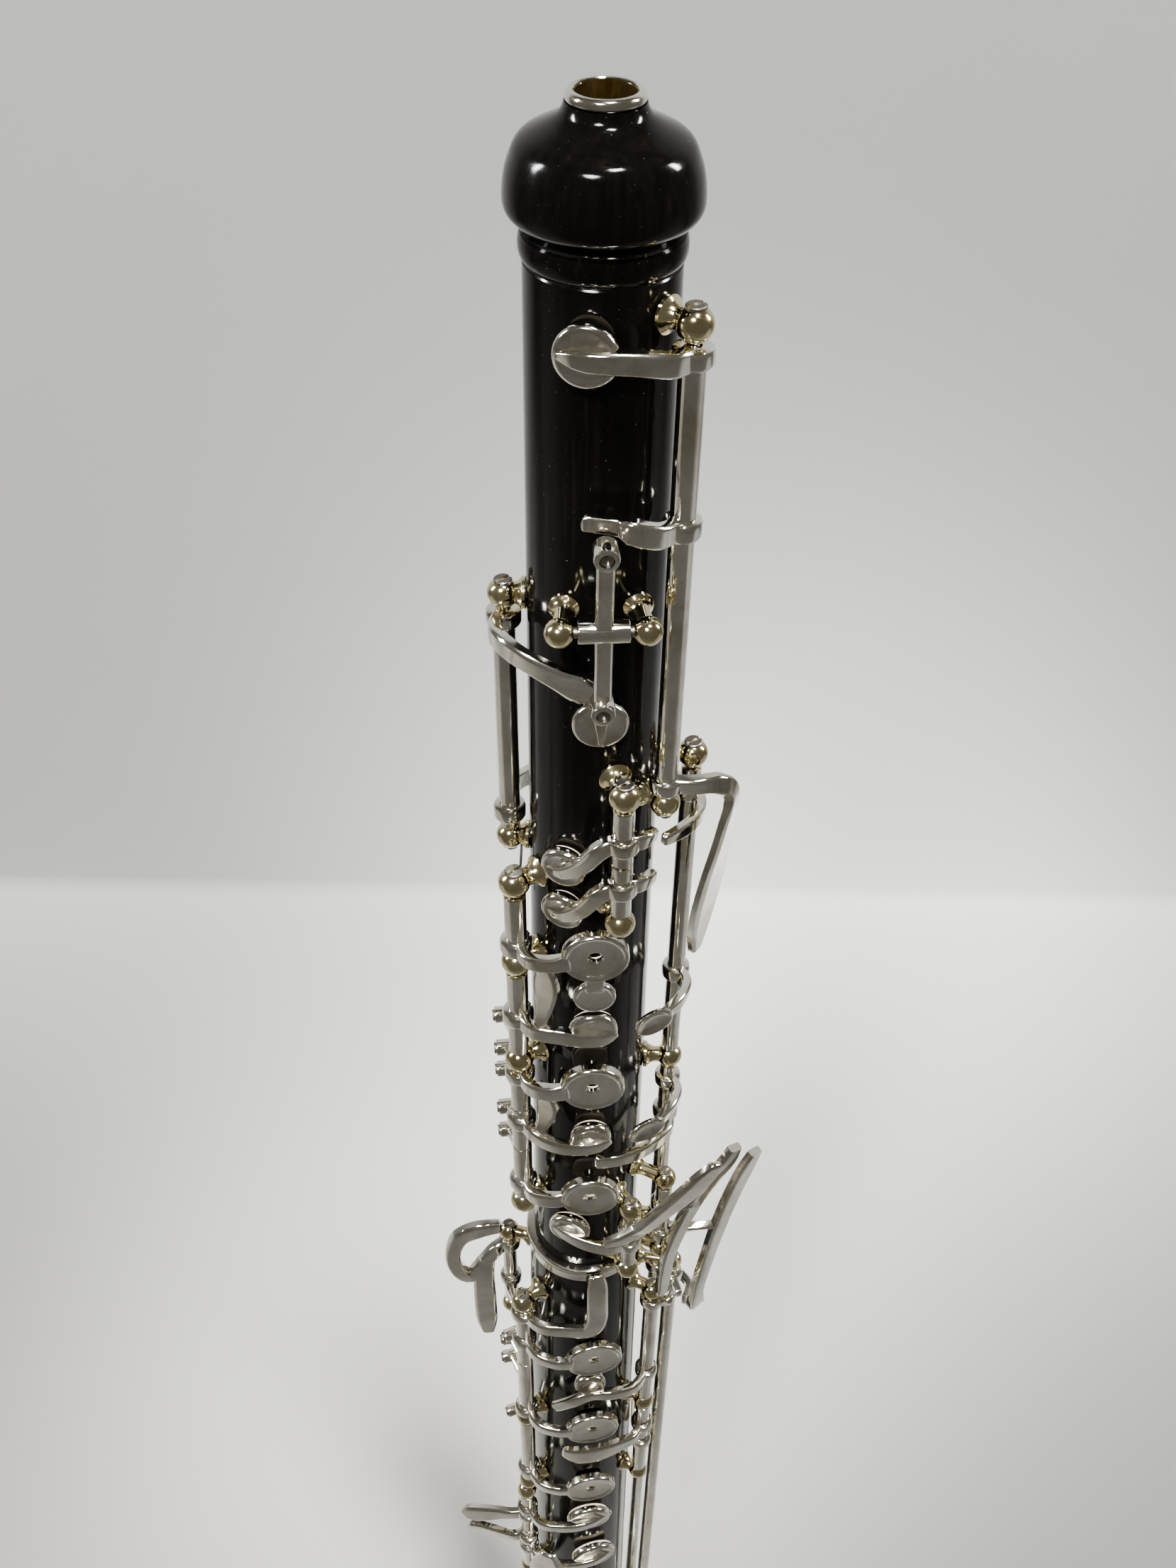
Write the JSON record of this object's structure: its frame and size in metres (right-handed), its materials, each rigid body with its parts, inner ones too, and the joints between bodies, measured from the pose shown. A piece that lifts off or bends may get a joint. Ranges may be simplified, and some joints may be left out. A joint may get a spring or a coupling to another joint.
{
  "type": "oboe",
  "caption": "Conservatoire-system oboe without its reed: black wood joints and flared bell, silver sprung keywork on ball posts",
  "frame": {"origin": "on the floor under the middle of the bell, on the axis of the bore", "axes": "+Z along the bore towards the reed; -Y is the front, where the finger plates face; +X is the side of the left little finger's keys"},
  "size_m": [0.0658, 0.057, 0.597],
  "materials": {
    "grenadilla": "oiled and polished black wood with very fine open grain",
    "silver": "silver plate, polished, slightly warm and tarnished in the corners",
    "nickel_silver": "polished bare nickel silver, yellowish",
    "steel": "blued and worn steel screws",
    "cork": "greased tenon cork",
    "pad_skin": "thin pale bladder skin over felt"
  },
  "bodies": {
    "root": {"b_flat_rod_posts": "nickel_silver", "bell": "grenadilla", "bell_key_posts": "nickel_silver", "bell_ring": "silver", "bell_tenon_cork": "cork", "f_key_posts": "nickel_silver", "g_sharp_posts": "nickel_silver", "left_little_finger_posts": "nickel_silver", "low_b_posts": "nickel_silver", "lower_joint": "grenadilla", "lower_stack_posts": "nickel_silver", "middle_ring": "silver", "middle_tenon_cork": "cork", "reed_socket": "silver", "right_little_finger_posts": "nickel_silver", "rocker_posts": "nickel_silver", "side_lever_posts": "nickel_silver", "side_octave_posts": "nickel_silver", "side_trill_posts": "nickel_silver", "thumb_octave_posts": "nickel_silver", "thumb_rest": "silver", "trill_posts": "nickel_silver", "upper_joint": "grenadilla", "upper_stack_posts": "nickel_silver"},
    "side_octave_key": {"side_octave_key": "silver", "side_octave_key_pad": "pad_skin"},
    "thumb_octave_key": {"thumb_octave_key": "silver"},
    "octave_rocker": {"octave_rocker": "silver", "rocker_screw_lower": "steel", "rocker_screw_upper": "steel"},
    "side_lever_upper": {"side_lever_upper": "silver"},
    "trill_key_upper": {"trill_key_upper": "silver"},
    "trill_key_lower": {"trill_key_lower": "silver"},
    "side_lever_lower": {"side_lever_lower": "silver"},
    "left_plate_1": {"left_plate_1": "silver", "left_plate_1_pad": "pad_skin"},
    "left_plate_2": {"left_plate_2": "silver", "left_plate_2_pad": "pad_skin"},
    "left_plate_3": {"left_plate_3": "silver", "left_plate_3_pad": "pad_skin"},
    "c_key": {"c_key": "silver"},
    "b_flat_vent_key": {"b_flat_vent_key": "silver"},
    "g_sharp_key": {"g_sharp_key": "silver"},
    "left_low_b_lever": {"left_low_b_lever": "silver"},
    "left_low_b_flat_lever": {"left_low_b_flat_lever": "silver"},
    "low_b_key": {"low_b_key": "silver"},
    "low_b_flat_rod": {"low_b_flat_rod": "silver"},
    "bell_b_flat_key": {"bell_b_flat_key": "silver"},
    "side_trill_key": {"side_trill_key": "silver"},
    "right_plate_1": {"right_plate_1": "silver", "right_plate_1_pad": "pad_skin"},
    "right_plate_2": {"right_plate_2": "silver", "right_plate_2_pad": "pad_skin"},
    "right_plate_3": {"right_plate_3": "silver", "right_plate_3_pad": "pad_skin"},
    "forked_f_vent_key": {"forked_f_vent_key": "silver"},
    "f_key": {"f_key": "silver"},
    "e_flat_key": {"e_flat_key": "silver"},
    "c_sharp_key": {"c_sharp_key": "silver"},
    "low_c_key": {"low_c_key": "silver"}
  },
  "joints": [
    {"name": "side_octave_key_hinge", "type": "hinge", "parent": "root", "child": "side_octave_key", "pos_m": [0.01029, -0.00949, 0.4999], "axis": [0, 0, 1], "range_deg": [0, 4.58], "stiffness_Nm_per_rad": 0.006, "springref_deg": -14.32},
    {"name": "thumb_octave_key_hinge", "type": "hinge", "parent": "root", "child": "thumb_octave_key", "pos_m": [-0.01317, 0.00088, 0.4839], "axis": [0, 0, -1], "range_deg": [0, 3.72], "stiffness_Nm_per_rad": 0.006, "springref_deg": -14.32},
    {"name": "octave_rocker_hinge", "type": "hinge", "parent": "root", "child": "octave_rocker", "pos_m": [0, -0.0149, 0.5334], "axis": [1, 0, 0], "range_deg": [0, 3.21]},
    {"name": "side_lever_upper_hinge", "type": "hinge", "parent": "root", "child": "side_lever_upper", "pos_m": [0.01527, -0.00101, 0.4266], "axis": [0, 0, -1], "range_deg": [0, 2.87], "stiffness_Nm_per_rad": 0.006, "springref_deg": -14.32},
    {"name": "trill_key_upper_hinge", "type": "hinge", "parent": "root", "child": "trill_key_upper", "pos_m": [0.00365, -0.01444, 0.4896], "axis": [0, 0, 1], "range_deg": [0, 5.73]},
    {"name": "trill_key_lower_hinge", "type": "hinge", "parent": "root", "child": "trill_key_lower", "pos_m": [0.00365, -0.01444, 0.4785], "axis": [0, 0, 1], "range_deg": [0, 5.73], "stiffness_Nm_per_rad": 0.006, "springref_deg": -14.32},
    {"name": "side_lever_lower_hinge", "type": "hinge", "parent": "root", "child": "side_lever_lower", "pos_m": [0.01527, -0.00101, 0.3715], "axis": [0, 0, -1], "range_deg": [0, 2.87], "stiffness_Nm_per_rad": 0.006, "springref_deg": -14.32},
    {"name": "left_plate_1_hinge", "type": "hinge", "parent": "root", "child": "left_plate_1", "pos_m": [-0.01283, -0.00777, 0.4628], "axis": [0, 0, 1], "range_deg": [0, 4.3], "stiffness_Nm_per_rad": 0.006, "springref_deg": -14.32},
    {"name": "left_plate_2_hinge", "type": "hinge", "parent": "root", "child": "left_plate_2", "pos_m": [-0.01283, -0.00777, 0.4194], "axis": [0, 0, 1], "range_deg": [0, 4.3], "stiffness_Nm_per_rad": 0.006, "springref_deg": -14.32},
    {"name": "left_plate_3_hinge", "type": "hinge", "parent": "root", "child": "left_plate_3", "pos_m": [-0.01283, -0.00777, 0.3901], "axis": [0, 0, 1], "range_deg": [0, 4.3], "stiffness_Nm_per_rad": 0.006, "springref_deg": -14.32},
    {"name": "c_key_hinge", "type": "hinge", "parent": "root", "child": "c_key", "pos_m": [-0.01283, -0.00777, 0.4363], "axis": [0, 0, -1], "range_deg": [0, 5.16], "stiffness_Nm_per_rad": 0.006, "springref_deg": -14.32},
    {"name": "b_flat_vent_key_hinge", "type": "hinge", "parent": "root", "child": "b_flat_vent_key", "pos_m": [-0.01283, -0.00777, 0.4068], "axis": [0, 0, -1], "range_deg": [0, 5.16], "stiffness_Nm_per_rad": 0.006, "springref_deg": -14.32},
    {"name": "g_sharp_key_hinge", "type": "hinge", "parent": "root", "child": "g_sharp_key", "pos_m": [0.00795, -0.01377, 0.3726], "axis": [0, 0, 1], "range_deg": [0, 5.73], "stiffness_Nm_per_rad": 0.006, "springref_deg": -14.32},
    {"name": "left_low_b_lever_hinge", "type": "hinge", "parent": "root", "child": "left_low_b_lever", "pos_m": [0.01522, -0.00844, 0.382], "axis": [0, 0, 1], "range_deg": [0, 5.73], "stiffness_Nm_per_rad": 0.006, "springref_deg": -14.32},
    {"name": "left_low_b_flat_lever_hinge", "type": "hinge", "parent": "root", "child": "left_low_b_flat_lever", "pos_m": [0.01522, -0.00844, 0.371], "axis": [0, 0, 1], "range_deg": [0, 5.73], "stiffness_Nm_per_rad": 0.006, "springref_deg": -14.32},
    {"name": "low_b_key_hinge", "type": "hinge", "parent": "root", "child": "low_b_key", "pos_m": [0.01904, -0.0037, 0.1436], "axis": [0, 0, -1], "range_deg": [0, 3.72]},
    {"name": "low_b_flat_rod_hinge", "type": "hinge", "parent": "root", "child": "low_b_flat_rod", "pos_m": [0.01673, 0.0048, 0.1396], "axis": [0, 0, -1], "range_deg": [0, 3.44]},
    {"name": "bell_b_flat_key_hinge", "type": "hinge", "parent": "root", "child": "bell_b_flat_key", "pos_m": [0.02163, -0.0062, 0.0658], "axis": [0, 0, -1], "range_deg": [0, 2.58]},
    {"name": "side_trill_key_hinge", "type": "hinge", "parent": "root", "child": "side_trill_key", "pos_m": [-0.01636, 0.00532, 0.3256], "axis": [0, 0, -1], "range_deg": [0, 5.16], "stiffness_Nm_per_rad": 0.006, "springref_deg": -14.32},
    {"name": "right_plate_1_hinge", "type": "hinge", "parent": "root", "child": "right_plate_1", "pos_m": [-0.01369, -0.00991, 0.325], "axis": [0, 0, 1], "range_deg": [0, 4.3], "stiffness_Nm_per_rad": 0.006, "springref_deg": -14.32},
    {"name": "right_plate_2_hinge", "type": "hinge", "parent": "root", "child": "right_plate_2", "pos_m": [-0.01369, -0.00991, 0.2995], "axis": [0, 0, 1], "range_deg": [0, 4.3], "stiffness_Nm_per_rad": 0.006, "springref_deg": -14.32},
    {"name": "right_plate_3_hinge", "type": "hinge", "parent": "root", "child": "right_plate_3", "pos_m": [-0.01369, -0.00991, 0.2636], "axis": [0, 0, 1], "range_deg": [0, 4.3], "stiffness_Nm_per_rad": 0.006, "springref_deg": -14.32},
    {"name": "forked_f_vent_key_hinge", "type": "hinge", "parent": "root", "child": "forked_f_vent_key", "pos_m": [0.01433, -0.00896, 0.3026], "axis": [0, 0, 1], "range_deg": [0, 4.58], "stiffness_Nm_per_rad": 0.006, "springref_deg": -14.32},
    {"name": "f_key_hinge", "type": "hinge", "parent": "root", "child": "f_key", "pos_m": [0.01433, -0.00896, 0.2636], "axis": [0, 0, -1], "range_deg": [0, 4.01], "stiffness_Nm_per_rad": 0.006, "springref_deg": -14.32},
    {"name": "e_flat_key_hinge", "type": "hinge", "parent": "root", "child": "e_flat_key", "pos_m": [-0.01435, -0.01001, 0.231], "axis": [0, 0, -1], "range_deg": [0, 5.16], "stiffness_Nm_per_rad": 0.006, "springref_deg": -14.32},
    {"name": "c_sharp_key_hinge", "type": "hinge", "parent": "root", "child": "c_sharp_key", "pos_m": [-0.01435, -0.01001, 0.2076], "axis": [0, 0, -1], "range_deg": [0, 5.16], "stiffness_Nm_per_rad": 0.006, "springref_deg": -14.32},
    {"name": "low_c_key_hinge", "type": "hinge", "parent": "root", "child": "low_c_key", "pos_m": [-0.01435, -0.01001, 0.1526], "axis": [0, 0, 1], "range_deg": [0, 3.44], "stiffness_Nm_per_rad": 0.006, "springref_deg": -14.32}
  ],
  "couplings": [
    {"joint": "octave_rocker_hinge", "follows": "side_octave_key_hinge", "ratio": 0.7},
    {"joint": "trill_key_upper_hinge", "follows": "side_lever_upper_hinge", "ratio": 2},
    {"joint": "low_b_key_hinge", "follows": "left_low_b_lever_hinge", "ratio": 0.65},
    {"joint": "low_b_flat_rod_hinge", "follows": "left_low_b_flat_lever_hinge", "ratio": 0.6},
    {"joint": "bell_b_flat_key_hinge", "follows": "left_low_b_flat_lever_hinge", "ratio": 0.45}
  ]
}
